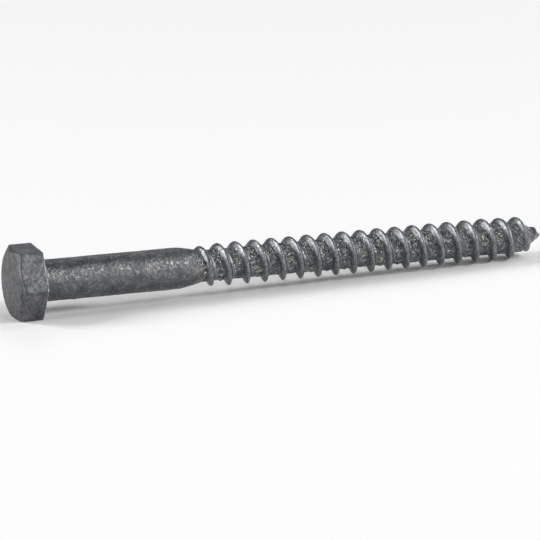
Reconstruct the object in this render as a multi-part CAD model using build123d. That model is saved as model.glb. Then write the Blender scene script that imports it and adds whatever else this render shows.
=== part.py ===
"""Hexagon-head lag screw for 8 mm holes, with a coarse rolled wood thread, hot-dip galvanised.

Sizes are in millimetres and degrees, over the zinc. The screw is drawn with its axis on X: the
bearing face of the head is at X = 0, the head behind it and the end of the point at X = length. Two
opposite flats of the head face up and down. The screw is then laid down as it comes to rest on a
level floor, on the front edge of its lower flat and on a thread crest near the point.
"""
from build123d import *
from math import atan2, ceil, cos, degrees, pi, radians, sin, tan
import os

os.makedirs("parts", exist_ok=True)

# Head
across_flats = 13.0
head_height = 5.1
chamfer_angle = 30.0  # between the end face and the cone that trims the six outer corners
chamfer_inset = 0.5  # from the flats in to the circle where that cone meets the end face
corner_round = 0.35  # along the six edges between the flats

# Shank, neck, core and point
length = 101.9  # bearing face to the end of the point
shank_diameter = 7.9
shank_length = 27.9  # bearing face to the start of the neck
neck_length = 4.7
core_diameter = 5.94
point_angle = 65.0  # across the cone of the point
point_round = 0.45  # blunt end of the point

# Thread: a ridge with straight flanks below and a blunt, roof-shaped crest above
pitch = 3.6
thread_diameter = 8.2
thread_start = 29.5  # bearing face to where the ridge leaves the neck
thread_angle = 88.0  # where the helix, carried on, crosses the bearing face, from +Y towards +Z
ridge_width = 1.76  # at the core
flank_angle = 27.0  # between each flank and a plane square to the axis
crest_share = 0.4  # upper part of the ridge's height, where the flanks close to the crest
run_in = 3.6  # travel along the axis in which the ridge rises out of the neck
run_out = 0.9  # travel in which it sinks into the point
run_out_gap = 0.3  # from the end of the ridge to the end of the point
crest_taper = 6.4  # stretch before the end of the point over which the crests close in on it
crest_overshoot = 0.2  # from the end of the point to where they would meet the axis
ridge_sink = 0.1  # how deep the ridge is rooted in the core
ridge_least = 0.3  # share of that depth which the ridge already has where it starts and ends
points_per_turn = 7  # through which the curves of the helix are drawn

shank_radius = shank_diameter / 2
core_radius = core_diameter / 2
neck_end = shank_length + neck_length
half_point = radians(point_angle / 2)
apex = length + point_round * (1 / sin(half_point) - 1)
cone_start = apex - core_radius / tan(half_point)
thread_end = length - run_out_gap

# The ridge's section at full height: distances from its foot, which lies inside the core
ridge_height = thread_diameter / 2 - core_radius + ridge_sink
shoulder_height = ridge_height - crest_share * (ridge_height - ridge_sink)
foot_half = ridge_width / 2 + ridge_sink * tan(radians(flank_angle))
shoulder_half = foot_half - shoulder_height * tan(radians(flank_angle))
section = [(-foot_half, 0), (-shoulder_half, shoulder_height), (0, ridge_height),
           (shoulder_half, shoulder_height), (foot_half, 0)]


def make_head():
    """Hexagonal prism with soft corners, trimmed at its outer end by a shallow cone."""
    hexagon = RegularPolygon(across_flats / 2, 6, major_radius=False)
    hexagon = fillet(hexagon.vertices(), corner_round)
    prism = Plane.YZ * Pos(0, 0, -head_height) * extrude(hexagon, head_height)
    corner_radius = across_flats / 2 / cos(radians(30))
    land_radius = across_flats / 2 - chamfer_inset
    chamfer_depth = (corner_radius - land_radius) * tan(radians(chamfer_angle))
    trim = Polyline((-head_height, 0), (-head_height, land_radius),
                    (chamfer_depth - head_height, corner_radius), (0, corner_radius), (0, 0), close=True)
    return prism & revolve(make_face(trim.edges()), Axis.X)


def make_core():
    """Shank, neck, core and blunt point, turned from one profile that starts inside the head."""
    inside_head = -head_height / 2
    cone_end = (length - point_round * (1 - sin(half_point)), point_round * cos(half_point))
    tip = (length, 0)
    side = Polyline(tip, (inside_head, 0), (inside_head, shank_radius), (shank_length, shank_radius),
                    (neck_end, core_radius), (cone_start, core_radius), cone_end)
    nose = TangentArc(cone_end, tip, tangent=(cos(half_point), -sin(half_point)))
    return revolve(make_face(side.edges() + nose.edges()), Axis.X)


def body_radius(x):
    """Radius of the plain body under the thread, at x from the bearing face."""
    neck = core_radius + (shank_radius - core_radius) * min(max((neck_end - x) / neck_length, 0), 1)
    return min(neck, (apex - x) * tan(half_point))


def foot_radius(x):
    """Radius of the foot of the ridge, inside the body."""
    return body_radius(x) - min(ridge_sink, body_radius(x) / 2)


def smooth_step(share):
    """Rise from 0 to 1 that starts and ends gently."""
    share = min(max(share, 0), 1)
    return share * share * (3 - 2 * share)


def height_at(x):
    """Height of the ridge over its foot: it fades in and out, and a parabola closes it in on the point."""
    past = max(x - length + crest_taper, 0) / (crest_taper + crest_overshoot)
    full = thread_diameter / 2 * (1 - past * past) - foot_radius(x)
    least = ridge_least * ridge_sink
    shown = smooth_step((x - thread_start) / run_in) * smooth_step((thread_end - x) / run_out)
    return least + (full - least) * shown


def rail(start, end, corner):
    """One long edge of the ridge, through a corner of its section, between two counts of turns."""
    def point(turn):
        x = pitch * turn
        scale = height_at(x) / ridge_height
        offset, height = corner[0] * scale, corner[1] * scale
        radius = foot_radius(x) + height if height else foot_radius(x + offset)
        angle = 2 * pi * turn + radians(thread_angle)
        return Vector(x + offset, radius * cos(angle), radius * sin(angle))

    steps = ceil((end - start) * points_per_turn)
    turns = [start + (end - start) * i / steps for i in range(steps + 1)]
    small = 1e-4
    tangents = [(point(turn + small) - point(turn - small)) / (2 * small) for turn in (start, end)]
    return Edge.make_spline([point(turn) for turn in turns], tangents, parameters=turns, scale=False)


def ridge_piece(start, end):
    """About one turn of the ridge: faces ruled between its long edges, and two flat ends."""
    rails = [rail(start, end, corner) for corner in section]
    faces = [Face.make_surface_from_curves(one, other) for one, other in zip(rails, rails[1:] + rails[:1])]
    for end_of_rail in (0, 1):
        corners = [edge.position_at(end_of_rail) for edge in rails]
        faces.append(Face(Wire.make_polygon(corners, close=True)))
    return Solid(Shell(faces))


def make_thread():
    """The helical ridge, right-handed, in pieces of about one turn."""
    first, last = thread_start / pitch, thread_end / pitch
    count = ceil(last - first)
    cuts = [first + (last - first) * i / count for i in range(count + 1)]
    return [ridge_piece(start, end) for start, end in zip(cuts, cuts[1:])]


def rest_tilt():
    """Angle by which the point dips when the crest that meets the floor first takes the weight."""
    turns_down = (270 - thread_angle) / 360
    below = [pitch * (turn + turns_down) for turn in range(ceil(length / pitch))]
    below = [x for x in below if thread_start + run_in < x < thread_end]
    return min(atan2(across_flats / 2 - foot_radius(x) - height_at(x), x) for x in below)


screw = make_head().fuse(make_core(), *make_thread()).clean()
screw = Rot(0, degrees(rest_tilt()), 0) * screw
screw.label = "lag_screw"
export_step(screw, "parts/lag_screw.step")
print("tilt", round(degrees(rest_tilt()), 3), "deg; solids", len(screw.solids()),
      "; volume", round(screw.volume, 1), "mm3")
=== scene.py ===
# %% [markdown]
# # A hot-dip galvanised lag screw
#
# A lag screw is a large wood screw with a hexagon head. The blank is forged, the thread is rolled,
# and the finished screw is dipped in molten zinc. The zinc rounds every edge, leaves small lumps
# and grains in the roots of the thread, and dulls to a blue-grey within weeks.
#
# The CAD model gives the exact size and place. This lesson makes one detailed mesh that stands for
# it, in the same frame: a body swept along the helix, a head pressed out of a turned blank, and a
# skin of zinc over both.

from math import atan2, ceil, cos, hypot, pi, radians, sin, sqrt, tan

import bmesh
import bpy
from mathutils import Matrix, Vector, noise
from mathutils.kdtree import KDTree


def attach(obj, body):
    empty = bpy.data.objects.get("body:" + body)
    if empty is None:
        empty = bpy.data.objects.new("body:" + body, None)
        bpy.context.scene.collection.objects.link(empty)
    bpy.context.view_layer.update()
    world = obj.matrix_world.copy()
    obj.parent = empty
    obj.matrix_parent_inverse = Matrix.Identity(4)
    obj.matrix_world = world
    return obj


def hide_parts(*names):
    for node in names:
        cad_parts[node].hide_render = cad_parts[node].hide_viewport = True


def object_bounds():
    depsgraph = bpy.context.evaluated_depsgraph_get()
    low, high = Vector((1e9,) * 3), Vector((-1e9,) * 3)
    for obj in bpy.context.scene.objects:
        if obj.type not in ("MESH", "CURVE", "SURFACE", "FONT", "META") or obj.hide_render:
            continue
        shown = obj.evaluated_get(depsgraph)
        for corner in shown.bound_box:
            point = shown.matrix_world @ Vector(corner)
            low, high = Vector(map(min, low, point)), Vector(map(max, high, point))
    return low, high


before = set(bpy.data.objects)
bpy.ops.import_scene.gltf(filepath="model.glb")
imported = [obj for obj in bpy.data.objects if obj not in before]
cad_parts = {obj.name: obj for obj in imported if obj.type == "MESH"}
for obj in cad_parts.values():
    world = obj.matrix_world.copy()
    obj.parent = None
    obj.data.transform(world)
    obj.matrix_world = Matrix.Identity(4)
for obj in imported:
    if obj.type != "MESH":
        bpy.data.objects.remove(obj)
cad_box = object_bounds()
MM = 0.001  # Blender works in metres
print("CAD box, mm:", [[round(c / MM, 2) for c in corner] for corner in cad_box])

# %% [markdown]
# ## Camera
#
# The camera stands in front, to the left and a little above, far away with a long lens, so that
# the screw is seen almost without perspective. It is placed by the point it looks at, two angles
# and a distance, which is easier to adjust than a position.

# %% Camera
SENSOR = 36.0  # mm
FOCAL_SHARE = 8.51852  # focal length over the width of the sensor
camera_aim = Vector((42.26, -10.52, 0.0)) * MM
camera_distance = 858.65 * MM
camera_azimuth = radians(-20.46)  # from straight in front, towards the point
camera_elevation = radians(15.92)
camera_roll = radians(-0.97)


def direction(azimuth, elevation):
    """Unit vector from the screw to a place around it; azimuth 0 is straight in front."""
    return Vector((sin(azimuth) * cos(elevation), -cos(azimuth) * cos(elevation), sin(elevation)))


back = direction(camera_azimuth, camera_elevation)
camera = bpy.data.objects.new("camera", bpy.data.cameras.new("camera"))
camera.data.sensor_width = SENSOR
camera.data.lens = SENSOR * FOCAL_SHARE
camera.location = camera_aim + back * camera_distance
camera.rotation_mode = "QUATERNION"
turn = (-back).to_track_quat("-Z", "Y").to_matrix() @ Matrix.Rotation(camera_roll, 3, "Z")
camera.rotation_quaternion = turn.to_quaternion()
bpy.context.scene.collection.objects.link(camera)
bpy.context.scene.camera = camera
print("lens", round(camera.data.lens, 1), "mm at", round(camera_distance, 3), "m")

# %% [markdown]
# ## Sizes
#
# The sizes are those of the CAD source, in millimetres. The screw is modelled with its axis on X:
# the bearing face of the head at X = 0 and the end of the point at X = length. It is laid down on
# the floor at the end, by the small angle at which it comes to rest on its head and its thread.

# %% Sizes
across_flats = 13.0
head_height = 5.1
chamfer_angle = radians(30)
land_radius = 6.0  # circle where the chamfer meets the end face
corner_round = 0.35
length = 101.9
shank_radius = 3.92
shank_length = 27.9
neck_end = 32.6
core_radius = 2.97
half_point = radians(32.5)
point_round = 0.45
pitch = 3.6
crest_radius = 4.09
crest_angle = radians(88)  # where the crest line, carried on, crosses X = 0, from +Y towards +Z
ridge_half = 0.84  # half the ridge's width at the core
head_flank = radians(27)  # slope of the ridge's sides from square to the axis
point_flank = radians(20)
rest_tilt = radians(1.441)

apex = length + point_round * (1 / sin(half_point) - 1)  # of the cone, before it is blunted
cone_start = apex - core_radius / tan(half_point)
nose_start = length - point_round * (1 - sin(half_point))  # where the cone meets the round nose
nose_reach = nose_start + point_round * (pi / 2 - half_point)  # measured along the surface
print("cone from", round(cone_start, 2), "to", round(nose_start, 2), "mm")

# %% [markdown]
# ## Soft corners in a formula
#
# Zinc fills inner corners and rounds outer ones. A soft minimum or maximum of two curves does the
# same in a formula: it follows the lower or the upper one, and blends them where they cross.


# %% Blending helpers
def soft_min(a, b, blend):
    """The lower of two values, rounded off where they are closer than blend."""
    near = max(blend - abs(a - b), 0)
    return min(a, b) - near * near / (4 * blend)


def soft_max(a, b, blend):
    """The higher of two values, filled in where they are closer than blend."""
    return -soft_min(-a, -b, blend)


def ease(share):
    """Rise from 0 to 1 that starts and ends gently."""
    share = min(max(share, 0), 1)
    return share * share * (3 - 2 * share)


def along(table, x):
    """Value at x from a table of (x, value) rows, eased from each row to the next."""
    if x <= table[0][0]:
        return table[0][1]
    for (x0, v0), (x1, v1) in zip(table, table[1:]):
        if x <= x1:
            return v0 + (v1 - v0) * ease((x - x0) / (x1 - x0))
    return table[-1][1]


# %% [markdown]
# ## The body's radius
#
# The rolled body is a shank, a short neck, a core and a cone. One function gives its radius
# anywhere along the axis. The neck's corners are long and soft, and a small collar of zinc fills
# the corner under the head.

# %% Radius of the body
collar_round = 0.45
neck_blend = 0.12
point_blend = 0.3


def body_radius(x):
    """Radius of the body under the thread."""
    down_the_neck = (x - shank_length) / (neck_end - shank_length)
    slope = shank_radius + (core_radius - shank_radius) * down_the_neck
    radius = soft_max(soft_min(shank_radius, slope, neck_blend), core_radius, neck_blend)
    radius = soft_min(radius, (apex - x) * tan(half_point), point_blend)
    if x < collar_round:
        radius += collar_round - sqrt(max(collar_round**2 - (collar_round - max(x, 0)) ** 2, 0))
    return radius


for x in (0, 10, 30, 50, 100):
    print("body radius at", x, "mm:", round(body_radius(x), 3))

# %% [markdown]
# ## The ridge of the thread
#
# Rolling squeezes the ridge up between two dies. It has straight flanks and a blunt, rounded crest.
# The two sides differ: the one towards the head meets the core in a sharp corner, while zinc fills
# the corner towards the point to a wide, soft foot. The first turns are not quite filled: they are
# lower, and thinner on the side of the point. The last turns close in on the point, which is what
# lets the screw bite.

# %% Section of the ridge
crest_curve = 0.48  # radius of curvature of the crest
crest_blend = 0.3
head_side_blend = 0.1  # where the ridge rises out of the core, on the side of the head
point_side_blend = 0.7
low_ridge = 0.6  # a ridge lower than this has smaller blends
crest_radii = [(29.3, 2.9), (30.6, 3.35), (32.4, 3.82), (34.2, 3.95), (36.4, 4.08),
               (40.0, crest_radius), (90.0, crest_radius), (93.3, 3.92), (95.4, 3.93),
               (97.0, 3.86), (98.8, 3.0), (100.6, 1.67), (101.6, 0.4)]
head_side_half = [(30.0, 1.05), (35.0, 0.95), (42.0, 0.78)]
point_side_half = [(30.0, 0.42), (35.0, 0.46), (46.0, 0.66), (88.0, 0.68), (94.0, 0.78)]


def ridge_rise(x, offset):
    """Height of the ridge over the body, at a distance along the axis from its crest line."""
    base = body_radius(x)
    height = along(crest_radii, x) - base
    if height <= 0:
        return 0
    half = along(point_side_half if offset > 0 else head_side_half, x)
    flank = (half - abs(offset)) / tan(point_flank if offset > 0 else head_flank)
    top = height - offset * offset / (2 * crest_curve)
    share = min(height / low_ridge, 1)
    root_blend = point_side_blend if offset > 0 else head_side_blend
    return soft_max(soft_min(flank, top, crest_blend * share), 0, root_blend * share)


for offset in (0, 0.2, 0.4, 0.6, 0.8):
    print("ridge", offset, "mm from its crest line:", round(ridge_rise(60, offset), 3), "mm high")

# %% [markdown]
# ## A strip along the helix
#
# A thread drawn on straight rings shows steps along its crest. Here the mesh itself runs along the
# helix, so each of its long edges keeps one distance from the crest line. A chain of points one
# pitch long is spun about the axis with a lift, as the Screw modifier does, which gives one turn.
# Copies of that turn, each a pitch further on, join edge to edge.

# %% The strip, one turn after another
COLUMNS = 120  # steps in a turn
WELD = 0.001  # mm, vertices nearer than this are one
FINE_WELD = 0.0005
rows_to_head = [0.12, 0.26, 0.42, 0.58, 0.72, 0.82, 0.90, 1.04, 1.19, 1.34, 1.49, 1.64, pitch / 2]
rows_to_point = [0, 0.12, 0.25, 0.39, 0.53, 0.68, 0.83, 0.98, 1.14, 1.30, 1.47, 1.64, pitch / 2]
first_turn, last_turn = -1, ceil(length / pitch) + 1

strip = bmesh.new()
offsets = [-d for d in reversed(rows_to_head)] + rows_to_point
crest_at_start = pitch * (first_turn - crest_angle / (2 * pi))
chain = [strip.verts.new((crest_at_start + d, 1, 0)) for d in offsets]
for one, other in zip(chain, chain[1:]):
    strip.edges.new((one, other))
bmesh.ops.spin(strip, geom=strip.verts[:] + strip.edges[:], cent=(0, 0, 0), axis=(1, 0, 0),
               dvec=(pitch / COLUMNS, 0, 0), angle=2 * pi, steps=COLUMNS)
one_turn = strip.verts[:] + strip.edges[:] + strip.faces[:]
for k in range(1, last_turn - first_turn + 1):
    copy = bmesh.ops.duplicate(strip, geom=one_turn)["geom"]
    copy = [element for element in copy if isinstance(element, bmesh.types.BMVert)]
    bmesh.ops.translate(strip, verts=copy, vec=(pitch * k, 0, 0))
bmesh.ops.remove_doubles(strip, verts=strip.verts, dist=WELD)
print("strip:", len(strip.faces), "faces,", last_turn - first_turn + 1, "turns")

# %% [markdown]
# ## From strip to screw
#
# Each vertex already knows its angle and its place along the axis. All that is left is its radius,
# body plus ridge. At the point the strip is measured along the round nose, and all that would lie
# beyond the tip is gathered there in one vertex, which closes the end.
#
# A value called grain is kept on each vertex for later. It says how rough the zinc is: most in the
# roots of the thread, about half as much on the shank, and little on the ridge and its foot, which
# were wiped smooth as the screw drained and rubbed against others.


# %% Radii and the round nose
def crest_offset(x, angle):
    """Distance along the axis from the nearest crest line, positive towards the point."""
    turns = (angle - crest_angle) / (2 * pi) - x / pitch
    return -pitch * (turns - round(turns))


def on_surface(x, angle):
    """Place of the strip's point on the screw: x along the axis, and its radius."""
    if x <= nose_start:
        offset = crest_offset(x, angle)
        return x, body_radius(x) + ridge_rise(x, offset)
    bend = max((nose_reach - x) / point_round, 0)
    return length - point_round * (1 - cos(bend)), point_round * sin(bend)


SHANK_GRAIN = 0.47  # the roots have 1
GRAIN_RISE = 3  # mm before the end of the neck over which it grows
WIPED_SHARE = 0.85  # part of the grain that wiping takes away
WIPED_HEIGHT = 0.2  # mm of ridge at which zinc is fully wiped
WIPED_PAST = 1.2  # mm from the crest line towards the point
WIPED_FADE = 0.35
grain = strip.verts.layers.float.new("grain")
for v in strip.verts:
    angle = atan2(v.co.z, v.co.y)
    x = v.co.x
    offset = crest_offset(x, angle)
    wiped = 0
    if shank_length < x < nose_start:
        wiped = ease(ridge_rise(x, offset) / WIPED_HEIGHT)
        if 0 < offset and along(crest_radii, x) > body_radius(x):
            wiped = max(wiped, ease((WIPED_PAST - offset) / WIPED_FADE))
    rise = ease((x - neck_end + GRAIN_RISE) / GRAIN_RISE)
    v[grain] = (SHANK_GRAIN + (1 - SHANK_GRAIN) * rise) * (1 - WIPED_SHARE * wiped)
    x, radius = on_surface(x, angle)
    v.co = (x, radius * cos(angle), radius * sin(angle))
bmesh.ops.remove_doubles(strip, verts=strip.verts, dist=FINE_WELD)
print("after closing the point:", len(strip.faces), "faces")

# %% [markdown]
# ## Cutting the strip square
#
# The strip begins on a slant, so it starts well inside the head and is cut square just in front of
# the bearing face. That leaves one open loop, which the head will be joined to.

# %% A square cut under the head
CUT_AT = 0.06  # mm in front of the bearing face
whole = strip.verts[:] + strip.edges[:] + strip.faces[:]
bmesh.ops.bisect_plane(strip, geom=whole, dist=0.0001, plane_co=(CUT_AT, 0, 0), plane_no=(1, 0, 0),
                       clear_inner=True)
open_edges = [e for e in strip.edges if e.is_boundary]
print("open edges after the cut:", len(open_edges))

# %% [markdown]
# ## The head, turned and then pressed
#
# A forge makes a round blank first and then trims six flats off it. The mesh follows the same
# order. A profile is spun into a round blank with a shallow cone at its outer end. Then each vertex
# is drawn in to the hexagon at its own angle. The rings of the blank follow the edge between cone
# and flats, so that edge comes out clean.

# %% The round blank
HEAD_COLUMNS = 216  # 36 to each flat
blank_radius = across_flats / 2 / cos(radians(30))
cone_slope = tan(chamfer_angle)
blank_cone_end = -head_height + (blank_radius - land_radius) * cone_slope
inner_radius = body_radius(0) + 0.12  # of the hole that the body is joined to


def spaced(start, end, count, crowd):
    """Numbers from start to end, crowded towards "start", "end", "both" or neither."""
    def warp(t):
        if crowd == "start":
            return t * t
        if crowd == "end":
            return 1 - (1 - t) * (1 - t)
        return ease(t) if crowd == "both" else t
    return [start + (end - start) * warp(i / count) for i in range(count + 1)]


profile = [(-head_height, r) for r in spaced(0, land_radius, 17, "end")]
profile += [(-head_height + (r - land_radius) * cone_slope, r)
            for r in spaced(land_radius, blank_radius, 6, "")[1:]]
profile += [(x, blank_radius) for x in spaced(blank_cone_end, 0, 22, "both")[1:]]
profile += [(0, r) for r in spaced(blank_radius, inner_radius, 12, "start")[1:]]

head = bmesh.new()
chain = [head.verts.new((x, r, 0)) for x, r in profile]
for one, other in zip(chain, chain[1:]):
    head.edges.new((one, other))
bmesh.ops.spin(head, geom=head.verts[:] + head.edges[:], cent=(0, 0, 0), axis=(1, 0, 0),
               dvec=(0, 0, 0), angle=2 * pi, steps=HEAD_COLUMNS, use_merge=True)
bmesh.ops.remove_doubles(head, verts=head.verts, dist=FINE_WELD)
print("blank:", len(head.faces), "faces")

# %% [markdown]
# The flats face straight up and down and at 60 degrees between, so the corners lie at 0, 60, 120
# degrees and so on. The columns of the mesh are crowded towards the corners, where it curves most.
#
# A second value is kept on each vertex for painted light and dirt: above 0 it is a painted
# highlight, below 0 the colour is darker. The flats are darkened along the edge of the chamfer, and
# dirt sits a little on the end face. A painted highlight lies in patches along the edge of the
# bearing face.


# %% Pressing the six flats
def hexagon_radius(angle):
    """Distance from the axis to the hexagon with rounded corners, at an angle from a corner."""
    sixth = pi / 3
    aside = abs((angle + sixth / 2) % sixth - sixth / 2)
    centre = (across_flats / 2 - corner_round) / cos(sixth / 2)
    round_until = atan2(corner_round * sin(sixth / 2), centre + corner_round * cos(sixth / 2))
    if aside < round_until:
        return centre * cos(aside) + sqrt(corner_round**2 - (centre * sin(aside)) ** 2)
    return across_flats / 2 / cos(sixth / 2 - aside)


def crowd_to_corners(angle):
    """Moves an angle nearer to the closest corner of the hexagon."""
    sixth = pi / 3
    corner = round(angle / sixth) * sixth
    aside = (angle - corner) / (sixth / 2)
    moved = abs(aside) ** 1.7 * sixth / 2
    return corner + (moved if aside > 0 else -moved)


CROWN = 0.12  # mm that the end face swells in the middle
AT_EDGE = 0.1  # mm within which a vertex counts as on an edge
CHAMFER_EDGE_DARKER = -0.4
END_DIRT = -0.15
END_FADE = 1.5  # mm in from the chamfer
RIM_HIGHLIGHT = 1.6
RIM_HIGHLIGHT_FINENESS = 1.5  # patches to a millimetre
painted_light_and_dirt = head.verts.layers.float.new("painted_light_and_dirt")
for v in head.verts:
    x, radius = v.co.x, hypot(v.co.y, v.co.z)
    on_side = radius > blank_radius - WELD
    on_end = x < -1
    angle = crowd_to_corners(atan2(v.co.z, v.co.y))
    edge = hexagon_radius(angle)
    edge_x = -head_height + (edge - land_radius) * cone_slope
    if abs(x) < WELD:  # bearing face
        share = (radius - inner_radius) / (blank_radius - inner_radius)
        radius = inner_radius + share * (edge - inner_radius)
    elif on_side:
        x *= edge_x / blank_cone_end
        radius = edge
    elif on_end and radius > land_radius:  # cone
        share = (radius - land_radius) / (blank_radius - land_radius)
        radius = land_radius + share * (edge - land_radius)
        x = -head_height + (radius - land_radius) * cone_slope
    if on_end and radius < land_radius:
        x -= CROWN * (1 - (radius / land_radius) ** 2)
    v.co = (x, radius * cos(angle), radius * sin(angle))
    # The flats are darkened along the edge of the chamfer.
    if on_side and abs(x - edge_x) < AT_EDGE:
        v[painted_light_and_dirt] = CHAMFER_EDGE_DARKER
    # Painted highlight in patches along the edge of the bearing face.
    elif on_side and abs(x) < AT_EDGE:
        v[painted_light_and_dirt] = RIM_HIGHLIGHT * max(noise.noise(v.co * RIM_HIGHLIGHT_FINENESS) + 0.2, 0)
    elif x < -head_height + AT_EDGE:
        v[painted_light_and_dirt] = END_DIRT * ease((land_radius - radius) / END_FADE)
inner_loop = {v for e in head.edges if e.is_boundary for v in e.verts}
print("pressed: corner at", round(max(v.co.y for v in head.verts), 3), "mm, flat at",
      round(max(v.co.z for v in head.verts), 3), "mm")

# %% [markdown]
# Smoothing pulls each vertex towards the middle of its neighbours. It leaves the flats as they are
# and rounds the edges, which is just what a coat of zinc does.

# %% Rounding the edges of the head
SMOOTHINGS = 7
END_GRAIN, SIDE_GRAIN = 0.45, 0.38
for step in range(SMOOTHINGS):
    bmesh.ops.smooth_vert(head, verts=[v for v in head.verts if v not in inner_loop], factor=0.5,
                          use_axis_x=True, use_axis_y=True, use_axis_z=True)
grain = head.verts.layers.float.new("grain")
for v in head.verts:
    v[grain] = END_GRAIN if v.co.x < -head_height + AT_EDGE else SIDE_GRAIN

# %% [markdown]
# ## One closed skin
#
# Both meshes go into one, and a narrow ring of faces bridges the gap in the corner under the head.

# %% Joining head and body
body_mesh = bpy.data.meshes.new("body")
strip.to_mesh(body_mesh)
head.from_mesh(body_mesh)
screw = head
loops = [e for e in screw.edges if e.is_boundary]
bmesh.ops.bridge_loops(screw, edges=loops)
bmesh.ops.triangulate(screw, faces=[f for f in screw.faces if len(f.verts) > 4])
bmesh.ops.recalc_face_normals(screw, faces=screw.faces)
strip.free()
bpy.data.meshes.remove(body_mesh)
print("faces:", len(screw.faces), "open edges:", sum(e.is_boundary for e in screw.edges),
      "volume:", round(screw.calc_volume(signed=True), 1), "mm3")

# %% [markdown]
# ## The skin of zinc
#
# Molten zinc does not lie flat. It leaves long low waves, lumps about a millimetre across, fine
# crystals and pits. Each is a layer of noise with its own size, and each vertex is moved along its
# normal by their sum. The roots of the thread hold more zinc, so there the lumps are higher and
# nearly all of the crystals and pits are found, in rougher and smoother patches.

# %% Relief of the zinc
WAVE = (3.0, 0.035)  # size and height in mm
LUMP = (1.1, 0.06)
CRYSTAL = (0.5, 0.15)
PIT = (0.9, 0.45)
PATCH = 4.5  # size of the rougher and smoother patches
PIT_SHIFT = Vector((5, 3, 1))  # so that pits and waves don't fall in step
PIT_LEVEL = 0.3  # only the noise above it makes pits, so they stay apart


def relief(place, roughness):
    """Height of the zinc over its mean, in mm."""
    rooted = roughness**2  # 1 in the roots, about a fifth on the shank
    patch = ease(0.55 + 1.1 * noise.noise(place / PATCH))
    height = WAVE[1] * noise.noise(place / WAVE[0])
    height += LUMP[1] * noise.noise(place / LUMP[0]) * (0.1 + 0.9 * rooted)
    height += CRYSTAL[1] * noise.noise(place / CRYSTAL[0]) * rooted * (0.3 + 0.7 * patch)
    height -= PIT[1] * max(noise.noise(place / PIT[0] + PIT_SHIFT) - PIT_LEVEL, 0) * rooted
    return height


screw.normal_update()
grain = screw.verts.layers.float["grain"]
moves = [(v, v.normal * relief(v.co, v[grain])) for v in screw.verts]
for v, move in moves:
    v.co += move
print("largest move:", round(max(move.length for v, move in moves), 3), "mm")

# %% [markdown]
# Here and there a drop stays behind as the screw drains, or a fleck of ash leaves a pit. Each is a
# low dome or a shallow dish. A row gives its place, x in mm and angle in degrees from +Y towards
# +Z, then its radius and height in mm, and its painted light: a drop gets a painted highlight, at
# about 1, and the bottom of a pit gets painted shade, at about -1. The painted light adds to the
# value that the head already has.

# %% Drops and pits
shank_marks = [
    (7.43, -164, 0.34, -0.12, -0.9), (13.6, 126, 0.26, -0.06, -0.6), (9.37, 133, 0.24, -0.08, -0.7),
    (9.75, 136, 0.20, 0.04, 0.5), (14.8, 138, 0.24, -0.08, -0.7), (15.2, 140, 0.20, 0.04, 0.5),
    (12.2, 152, 0.24, -0.05, -0.4), (11.5, 149, 0.26, 0.04, 0.5), (4.1, 177, 0.35, -0.05, -0.35),
    (19.4, -165, 0.35, -0.04, -0.4), (23.8, 129, 0.26, -0.05, -0.5), (24.5, 146, 0.30, 0.05, 0.8),
    (25.3, 149, 0.35, 0.05, 0.9), (25.4, 144, 0.26, 0.04, 0.8), (26.5, 148, 0.30, 0.05, 0.7),
    (23.7, 153, 0.24, 0.03, 0.6), (26.0, 159, 0.26, 0.03, 0.6), (15.4, 150, 0.30, 0.03, 0.5),
    (16.8, 152, 0.30, 0.03, 0.5), (18.6, 163, 0.22, 0.02, 0.4), (3.5, 149, 0.30, 0.03, 0.4),
    (1.1, 151, 0.35, 0.03, 0.5), (6.92, -107, 0.40, 0.10, 0), (28.4, 151, 0.35, 0.05, 0.6),
    (28.1, 164, 0.28, -0.06, -0.7), (30.0, 164, 0.30, -0.05, -0.6), (30.9, 150, 0.30, 0.05, 0.7),
    (31.7, 158, 0.30, 0.05, 0.7),
]
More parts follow.
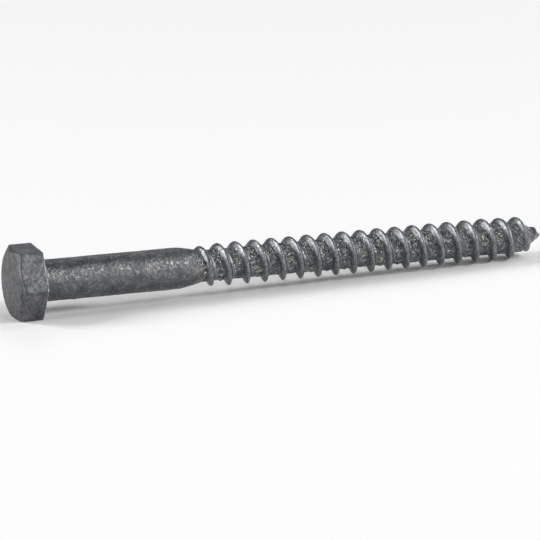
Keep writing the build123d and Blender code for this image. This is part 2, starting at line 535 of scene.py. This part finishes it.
root_marks = [
    (33.6, 147, 0.30, 0.10, 0.8), (34.8, 146, 0.30, 0.10, 0.9), (35.2, 154, 0.26, 0.10, 0.9),
    (34.2, 167, 0.26, 0.08, 0.7), (33.4, 166, 0.30, -0.12, -0.8), (34.8, 157, 0.26, -0.10, -0.8),
    (33.4, 139, 0.26, -0.08, -0.7), (36.0, -107, 0.50, 0.12, 0), (37.4, 161, 0.30, 0.10, 0.8),
    (37.8, 143, 0.26, -0.08, -0.6), (38.5, 151, 0.30, 0.10, 0.7), (38.7, 160, 0.26, 0.08, 0.6),
    (37.9, 167, 0.26, -0.12, -0.8), (40.7, 152, 0.30, -0.14, -0.9), (41.2, 162, 0.32, -0.14, -0.9),
    (41.5, 178, 0.30, -0.12, -0.8), (42.0, 148, 0.40, 0.08, 0.6), (41.6, 171, 0.24, 0.08, 0.8),
    (41.8, -160, 0.24, 0.08, 0.6), (48.5, 154, 0.32, -0.10, -0.8), (49.5, 167, 0.28, -0.10, -0.8),
    (52.0, 149, 0.35, 0.08, 0.6), (52.7, 163, 0.30, 0.10, 0.7), (52.5, 172, 0.30, 0.10, 0.9),
    (52.4, 155, 0.30, -0.12, -0.8), (52.6, 168, 0.22, -0.10, -0.8), (54.2, -107, 0.45, 0.06, 0),
    (55.4, 147, 0.24, 0.10, 0.8), (55.6, 158, 0.24, 0.10, 0.9), (55.7, 170, 0.24, 0.10, 0.8),
    (55.9, 132, 0.26, 0.08, 0.6), (56.2, 156, 0.32, -0.12, -0.8), (57.0, 169, 0.26, -0.10, -0.7),
    (57.5, -107, 0.70, 0.18, 0), (59.1, 150, 0.30, 0.08, 0.6), (60.4, 173, 0.26, 0.10, 0.8),
    (60.0, 165, 0.30, -0.10, -0.7), (61.1, -107, 0.45, 0.26, 0), (63.1, 145, 0.26, 0.10, 0.7),
    (63.5, 141, 0.26, 0.08, 0.7), (63.5, -172, 0.26, -0.06, -0.5), (67.2, 156, 0.42, -0.18, -1.0),
    (66.4, 159, 0.24, 0.10, 0.8), (66.6, 170, 0.24, 0.10, 0.9), (67.8, 172, 0.26, 0.15, 1.4),
    (67.7, -163, 0.26, 0.13, 1.1), (68.5, -107, 0.60, 0.17, 0), (71.0, 151, 0.30, -0.10, -0.8),
    (71.4, 178, 0.34, 0.20, 1.0), (71.3, -170, 0.40, 0.22, 1.0), (71.5, -157, 0.40, 0.20, 1.0),
    (72.0, -107, 0.65, 0.20, 0), (73.7, 145, 0.30, 0.10, 0.8), (74.8, 158, 0.30, 0.08, 0.6),
    (74.2, 149, 0.26, -0.10, -0.8), (74.9, 179, 0.24, 0.10, 0.9), (75.0, -165, 0.24, 0.10, 0.8),
    (75.4, -148, 0.28, 0.08, 0.6), (75.1, -107, 0.50, 0.10, 0), (77.6, 110, 0.24, 0.10, 0.6),
    (78.3, 123, 0.30, 0.14, 1.0), (77.9, 159, 0.35, 0.08, 0.7), (77.4, 151, 0.26, 0.06, 0.5),
    (81.3, 107, 0.28, 0.14, 0.9), (81.6, 132, 0.30, 0.16, 1.1), (81.5, 119, 0.30, -0.14, -0.9),
    (81.7, 146, 0.34, -0.16, -1.0), (81.7, 158, 0.30, 0.10, 0.9), (80.8, 157, 0.26, 0.08, 0.8),
    (82.0, 168, 0.30, -0.10, -0.8), (82.3, -107, 0.50, 0.08, 0), (85.1, 147, 0.30, 0.08, 0.6),
    (84.4, 159, 0.26, 0.08, 0.6), (85.5, 170, 0.24, -0.12, -0.9), (85.7, -178, 0.24, -0.12, -0.9),
    (88.8, 151, 0.30, 0.08, 0.8), (88.9, 161, 0.30, 0.08, 0.7), (89.2, -178, 0.30, 0.10, 0.9),
    (89.5, 168, 0.26, -0.10, -0.8), (92.4, 146, 0.35, 0.05, 0.5), (93.0, -154, 0.30, 0.08, 0.6),
]
# The marks on the crests are painted highlights over a very low dome.
crest_marks = [
    (60.9, 123, 0.40, 0.02, 0.4), (66.2, 124, 0.40, 0.02, 0.4), (69.4, 129, 0.40, 0.02, 0.3),
    (86.3, 131, 0.35, 0.02, 0.7), (90.0, 122, 0.35, 0.02, 0.5), (90.4, 133, 0.40, 0.02, 0.7),
    (93.5, 131, 0.35, 0.02, 0.6), (97.0, 115, 0.30, 0.02, 0.5),
]

painted_light_and_dirt = screw.verts.layers.float["painted_light_and_dirt"]
screw.normal_update()
screw.verts.index_update()
screw.verts.ensure_lookup_table()
near = KDTree(len(screw.verts))
for v in screw.verts:
    near.insert(v.co, v.index)
near.balance()
for x, angle, size, height, shine in shank_marks + root_marks + crest_marks:
    turned = radians(angle)
    x, radius = on_surface(x, turned)
    centre = Vector((x, radius * cos(turned), radius * sin(turned)))
    for co, index, away in near.find_range(centre, size):
        v = screw.verts[index]
        share = (1 - (away / size) ** 2) ** 1.5
        v.co += v.normal * height * share
        v[painted_light_and_dirt] += shine * share
print("drops and pits:", len(shank_marks) + len(root_marks) + len(crest_marks))

# %% [markdown]
# ## Laying it down
#
# The screw is turned by its resting tilt and scaled from millimetres to metres. It must not stand
# out of the CAD model's box, so the last thing is to hold every vertex within it. That also
# flattens the zinc a little where the screw touches the floor.

# %% In the shared frame
bmesh.ops.transform(screw, matrix=Matrix.Rotation(rest_tilt, 4, "Y"), verts=screw.verts)
bmesh.ops.scale(screw, vec=(MM, MM, MM), verts=screw.verts)
low, high = cad_box
MOVED = 1e-7  # metres, less is rounding
held = 0
for v in screw.verts:
    inside = Vector([min(max(c, a), b) for c, a, b in zip(v.co, low, high)])
    held += (inside - v.co).length > MOVED
    v.co = inside
for face in screw.faces:
    face.smooth = True
mesh = bpy.data.meshes.new("galvanised_lag_screw")
screw.to_mesh(mesh)
screw.free()
piece = bpy.data.objects.new("galvanised_lag_screw", mesh)
bpy.context.scene.collection.objects.link(piece)
print("vertices held back by the box:", held, "; triangles:",
      sum(len(p.vertices) - 2 for p in mesh.polygons))

# %% [markdown]
# ## Hot-dip galvanised steel
#
# What shows is the zinc, which is a metal, with a thin dull film of oxide and carbonate that it
# grows within weeks. The film darkens it to a blue-grey and scatters the light, so its gloss is
# broad and soft. Crystals in the zinc catch the light one by one, which gives the speckle.
#
# The material is built like the coat itself, one layer over another. All its nodes come from one
# helper, and four small functions use it for what comes back often: to remap a value, to turn a
# value into a colour, to lay one colour over another, and to multiply two values.


# %% Node helpers
def linear(hex_colour):
    """sRGB hex to the linear colour that a socket takes."""
    channels = [int(hex_colour[i:i + 2], 16) / 255 for i in (1, 3, 5)]
    channels = [c / 12.92 if c <= 0.04045 else ((c + 0.055) / 1.055) ** 2.4 for c in channels]
    return (*channels, 1)


def add(tree, kind, links=None, inputs=None, **settings):
    """Adds a node with its settings, its input values and the sockets that feed it."""
    node = tree.nodes.new(kind)
    for name, value in settings.items():
        setattr(node, name, value)
    for name, value in (inputs or {}).items():
        node.inputs[name].default_value = value
    for name, socket in (links or {}).items():
        tree.links.new(socket, node.inputs[name])
    return node


def remap(socket, span, target):
    """Carries a value from one span to another and holds it within."""
    limits = {"From Min": span[0], "From Max": span[1], "To Min": target[0], "To Max": target[1]}
    return add(tree, "ShaderNodeMapRange", {"Value": socket}, limits).outputs["Result"]


def ramp(socket, *stops):
    """Turns a value into a colour, between two stops of position and colour."""
    node = add(tree, "ShaderNodeValToRGB", {"Fac": socket})
    for element, (position, hex_colour) in zip(node.color_ramp.elements, stops):
        element.position, element.color = position, linear(hex_colour)
    return node.outputs["Color"]


def coat(share, under, over):
    """Lays a colour, given as hex or as a socket, over another by a share."""
    links, inputs = {0: share, 6: under}, {}
    if isinstance(over, str):
        inputs[7] = linear(over)
    else:
        links[7] = over
    return add(tree, "ShaderNodeMix", links, inputs, data_type="RGBA").outputs[2]


def product(one, other):
    """One value times another."""
    return add(tree, "ShaderNodeMath", {0: one, 1: other}, operation="MULTIPLY").outputs[0]


# %% [markdown]
# Every layer needs to know where it is. The two values that the mesh carries, grain and tone, come
# in as attributes, and four fields of noise give the patches: clouds of film, flecks, dust and
# crystals. Their sizes are real ones, in millimetres.

# %% Places and patterns
zinc = bpy.data.materials.new("hot-dip galvanised steel")
zinc.use_nodes = True
tree = zinc.node_tree
tree.nodes.clear()
place = add(tree, "ShaderNodeTexCoord").outputs["Object"]
along_axis = add(tree, "ShaderNodeSeparateXYZ", {"Vector": place}).outputs["X"]
rough = add(tree, "ShaderNodeAttribute", attribute_name="grain").outputs["Fac"]
shine = add(tree, "ShaderNodeAttribute", attribute_name="painted_light_and_dirt").outputs["Fac"]


def pattern(size_in_mm, detail, roughness):
    """A field of noise whose features have this size."""
    inputs = {"Scale": 1 / (size_in_mm * MM), "Detail": detail, "Roughness": roughness}
    return add(tree, "ShaderNodeTexNoise", {"Vector": place}, inputs).outputs["Fac"]


clouds = pattern(2.4, 3.0, 0.55)
flecks = pattern(0.6, 4.0, 0.65)
dust = pattern(0.35, 1.5, 0.6)
crystals = pattern(0.5, 4.0, 0.7)
print("patterns made, nodes so far:", len(tree.nodes))

# %% [markdown]
# The film of oxide comes in clouds, a little lighter or darker, and the shank is the duskiest part.
# Over it lie painted glints, light flecks where crystals would catch the light, and painted shade
# in the hollows between them. Both follow the grain, squared, so they are strong in the roots and
# faint on the shank, and both come in patches.

# %% Film and flecks
coarse = product(product(rough, rough), remap(clouds, (0.42, 0.58), (0.25, 1.0)))
skin = ramp(clouds, (0.36, "#64676c"), (0.66, "#7f8081"))
dusky = remap(along_axis, ((neck_end - 3) * MM, neck_end * MM), (0.32, 0.0))
skin = coat(dusky, skin, "#2f3236")
# Painted glints: light flecks where crystals would catch the light.
painted_glints = product(remap(flecks, (0.48, 0.62), (0.0, 0.9)), coarse)
skin = coat(painted_glints, skin, "#c3c2bb")
# Painted shade: dark flecks for the hollows between the crystals.
painted_hollow_shade = product(remap(flecks, (0.45, 0.37), (0.0, 0.65)), coarse)
skin = coat(painted_hollow_shade, skin, "#303336")
print("film and flecks laid, nodes so far:", len(tree.nodes))

# %% [markdown]
# Where the ridge was wiped the zinc is smoother and paler, under fine dust. The head is the dullest
# part, with a stained film. Painted highlights, painted shade and dirt come last, where the mesh
# says so.

# %% Wiped crests, stained head, painted light and dirt
wiped = remap(rough, (0.12, 0.4), (0.85, 0.0))
skin = coat(wiped, skin, ramp(dust, (0.41, "#63676c"), (0.60, "#a3a6a9")))
on_head = remap(along_axis, (0.0, 0.5 * MM), (0.8, 0.0))
stain = add(tree, "ShaderNodeMix", {2: flecks, 3: clouds}, {0: 0.5}).outputs[0]
skin = coat(on_head, skin, ramp(stain, (0.38, "#42464d"), (0.62, "#727273")))
# Painted highlights where the mesh's value is above 0: the edge of the bearing face, the drops and
# the crest marks.
skin = coat(remap(shine, (0.0, 1.0), (0.0, 0.9)), skin, "#d9d8d0")
# Below 0 it is painted shade in the pits, the darker chamfer edge, and dirt on the end face.
skin = coat(remap(shine, (0.0, -1.0), (0.0, 0.85)), skin, "#2f3031")
print("wear and dirt laid, nodes so far:", len(tree.nodes))

# %% [markdown]
# The gloss varies more than the colour does. Some crystals are nearly mirrors and glint in the
# roots, while smooth zinc and the head are satin. The crystals too fine for the mesh are a bump,
# low on smooth zinc and stronger in the roots.

# %% Gloss, bump and the shader
gloss = remap(flecks, (0.42, 0.6), (0.34, 0.12))
gloss = add(tree, "ShaderNodeMix", {0: rough, 3: gloss}, {2: 0.40}).outputs[0]
gloss = add(tree, "ShaderNodeMix", {0: on_head, 2: gloss}, {3: 0.44}).outputs[0]
strength = remap(rough, (0.3, 1.0), (0.25, 1.2))
bump = add(tree, "ShaderNodeBump", {"Height": crystals, "Strength": strength},
           {"Distance": 0.4 * MM}).outputs["Normal"]
shader = add(tree, "ShaderNodeBsdfPrincipled",
             {"Base Color": skin, "Roughness": gloss, "Normal": bump}, {"Metallic": 0.9})
add(tree, "ShaderNodeOutputMaterial", {"Surface": shader.outputs["BSDF"]})
mesh.materials.append(zinc)
print("material:", zinc.name, "with", len(tree.nodes), "nodes")

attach(piece, "root")
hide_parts("lag_screw")

# %% [markdown]
# ## Floor and light
#
# A floor of white paper, a nearly dark sky and a ring of broad, soft lamps. The paper is as pale as
# paper is, so it stays just under white and keeps the shadow.

# %% Floor and sky
FLOOR_SIZE = 6.0  # metres
floor_mesh = bpy.data.meshes.new("floor")
grid = bmesh.new()
bmesh.ops.create_grid(grid, x_segments=2, y_segments=2, size=FLOOR_SIZE / 2)
bmesh.ops.translate(grid, verts=grid.verts, vec=(0, 0, low.z))
grid.to_mesh(floor_mesh)
grid.free()
floor = bpy.data.objects.new("floor", floor_mesh)
bpy.context.scene.collection.objects.link(floor)
paint = bpy.data.materials.new("white studio paper")
paint.use_nodes = True
paper = paint.node_tree.nodes["Principled BSDF"]
paper.inputs["Base Color"].default_value = linear("#fbfbfb")
paper.inputs["Roughness"].default_value = 0.9
paper.inputs["Specular IOR Level"].default_value = 0.0
floor_mesh.materials.append(paint)

world = bpy.data.worlds.new("dim sky")
world.use_nodes = True
world.node_tree.nodes["Background"].inputs["Color"].default_value = linear("#edf2fb")
world.node_tree.nodes["Background"].inputs["Strength"].default_value = 0.02
bpy.context.scene.world = world
print("floor at", round(low.z / MM, 2), "mm")

# %% [markdown]
# The two strongest lamps stand far apart, one beyond the head and one in front, towards the point.
# Each draws its own soft band of light along the shank and along every crest. Low lamps light the
# flanks, and weaker, cooler ones fill in from the right, from above and from behind.

# %% Lamps
LAMP_DISTANCE = 1.3  # metres
LAMP_WIDTH = 0.5
WARM = (1.0, 0.995, 0.985)
FAINTLY_WARM = (1.0, 0.995, 0.99)
COOL = (0.98, 0.99, 1.0)
lamp_aim = Vector((51, 0, 0)) * MM  # near the middle of the screw


def soft_lamp(name, azimuth, elevation, radiance, colour):
    """A round area lamp that faces the screw. Radiance 1 is the brightness of white paper."""
    lamp = bpy.data.objects.new(name, bpy.data.lights.new(name, "AREA"))
    lamp.data.shape = "DISK"
    lamp.data.size = LAMP_WIDTH
    lamp.data.energy = radiance * pi * pi * (LAMP_WIDTH / 2) ** 2  # radiance times pi times area
    lamp.data.color = colour
    toward = direction(radians(azimuth), radians(elevation))
    lamp.location = lamp_aim + toward * LAMP_DISTANCE
    lamp.rotation_mode = "QUATERNION"
    lamp.rotation_quaternion = (-toward).to_track_quat("-Z", "Y")
    bpy.context.scene.collection.objects.link(lamp)
    print(name, round(lamp.data.energy, 2), "W")


soft_lamp("left lamp", -110, 34, 15.3, FAINTLY_WARM)
soft_lamp("side lamp", -85, 18, 8.3, FAINTLY_WARM)
soft_lamp("front lamp", 48, 36, 14.3, WARM)
soft_lamp("low front lamp", 25, 20, 5.6, WARM)
soft_lamp("right lamp", 110, 20, 4.4, COOL)
soft_lamp("top lamp", 90, 60, 3.2, COOL)
soft_lamp("back lamp", 165, 36, 3.5, COOL)
bpy.context.scene.view_settings.view_transform = "Standard"
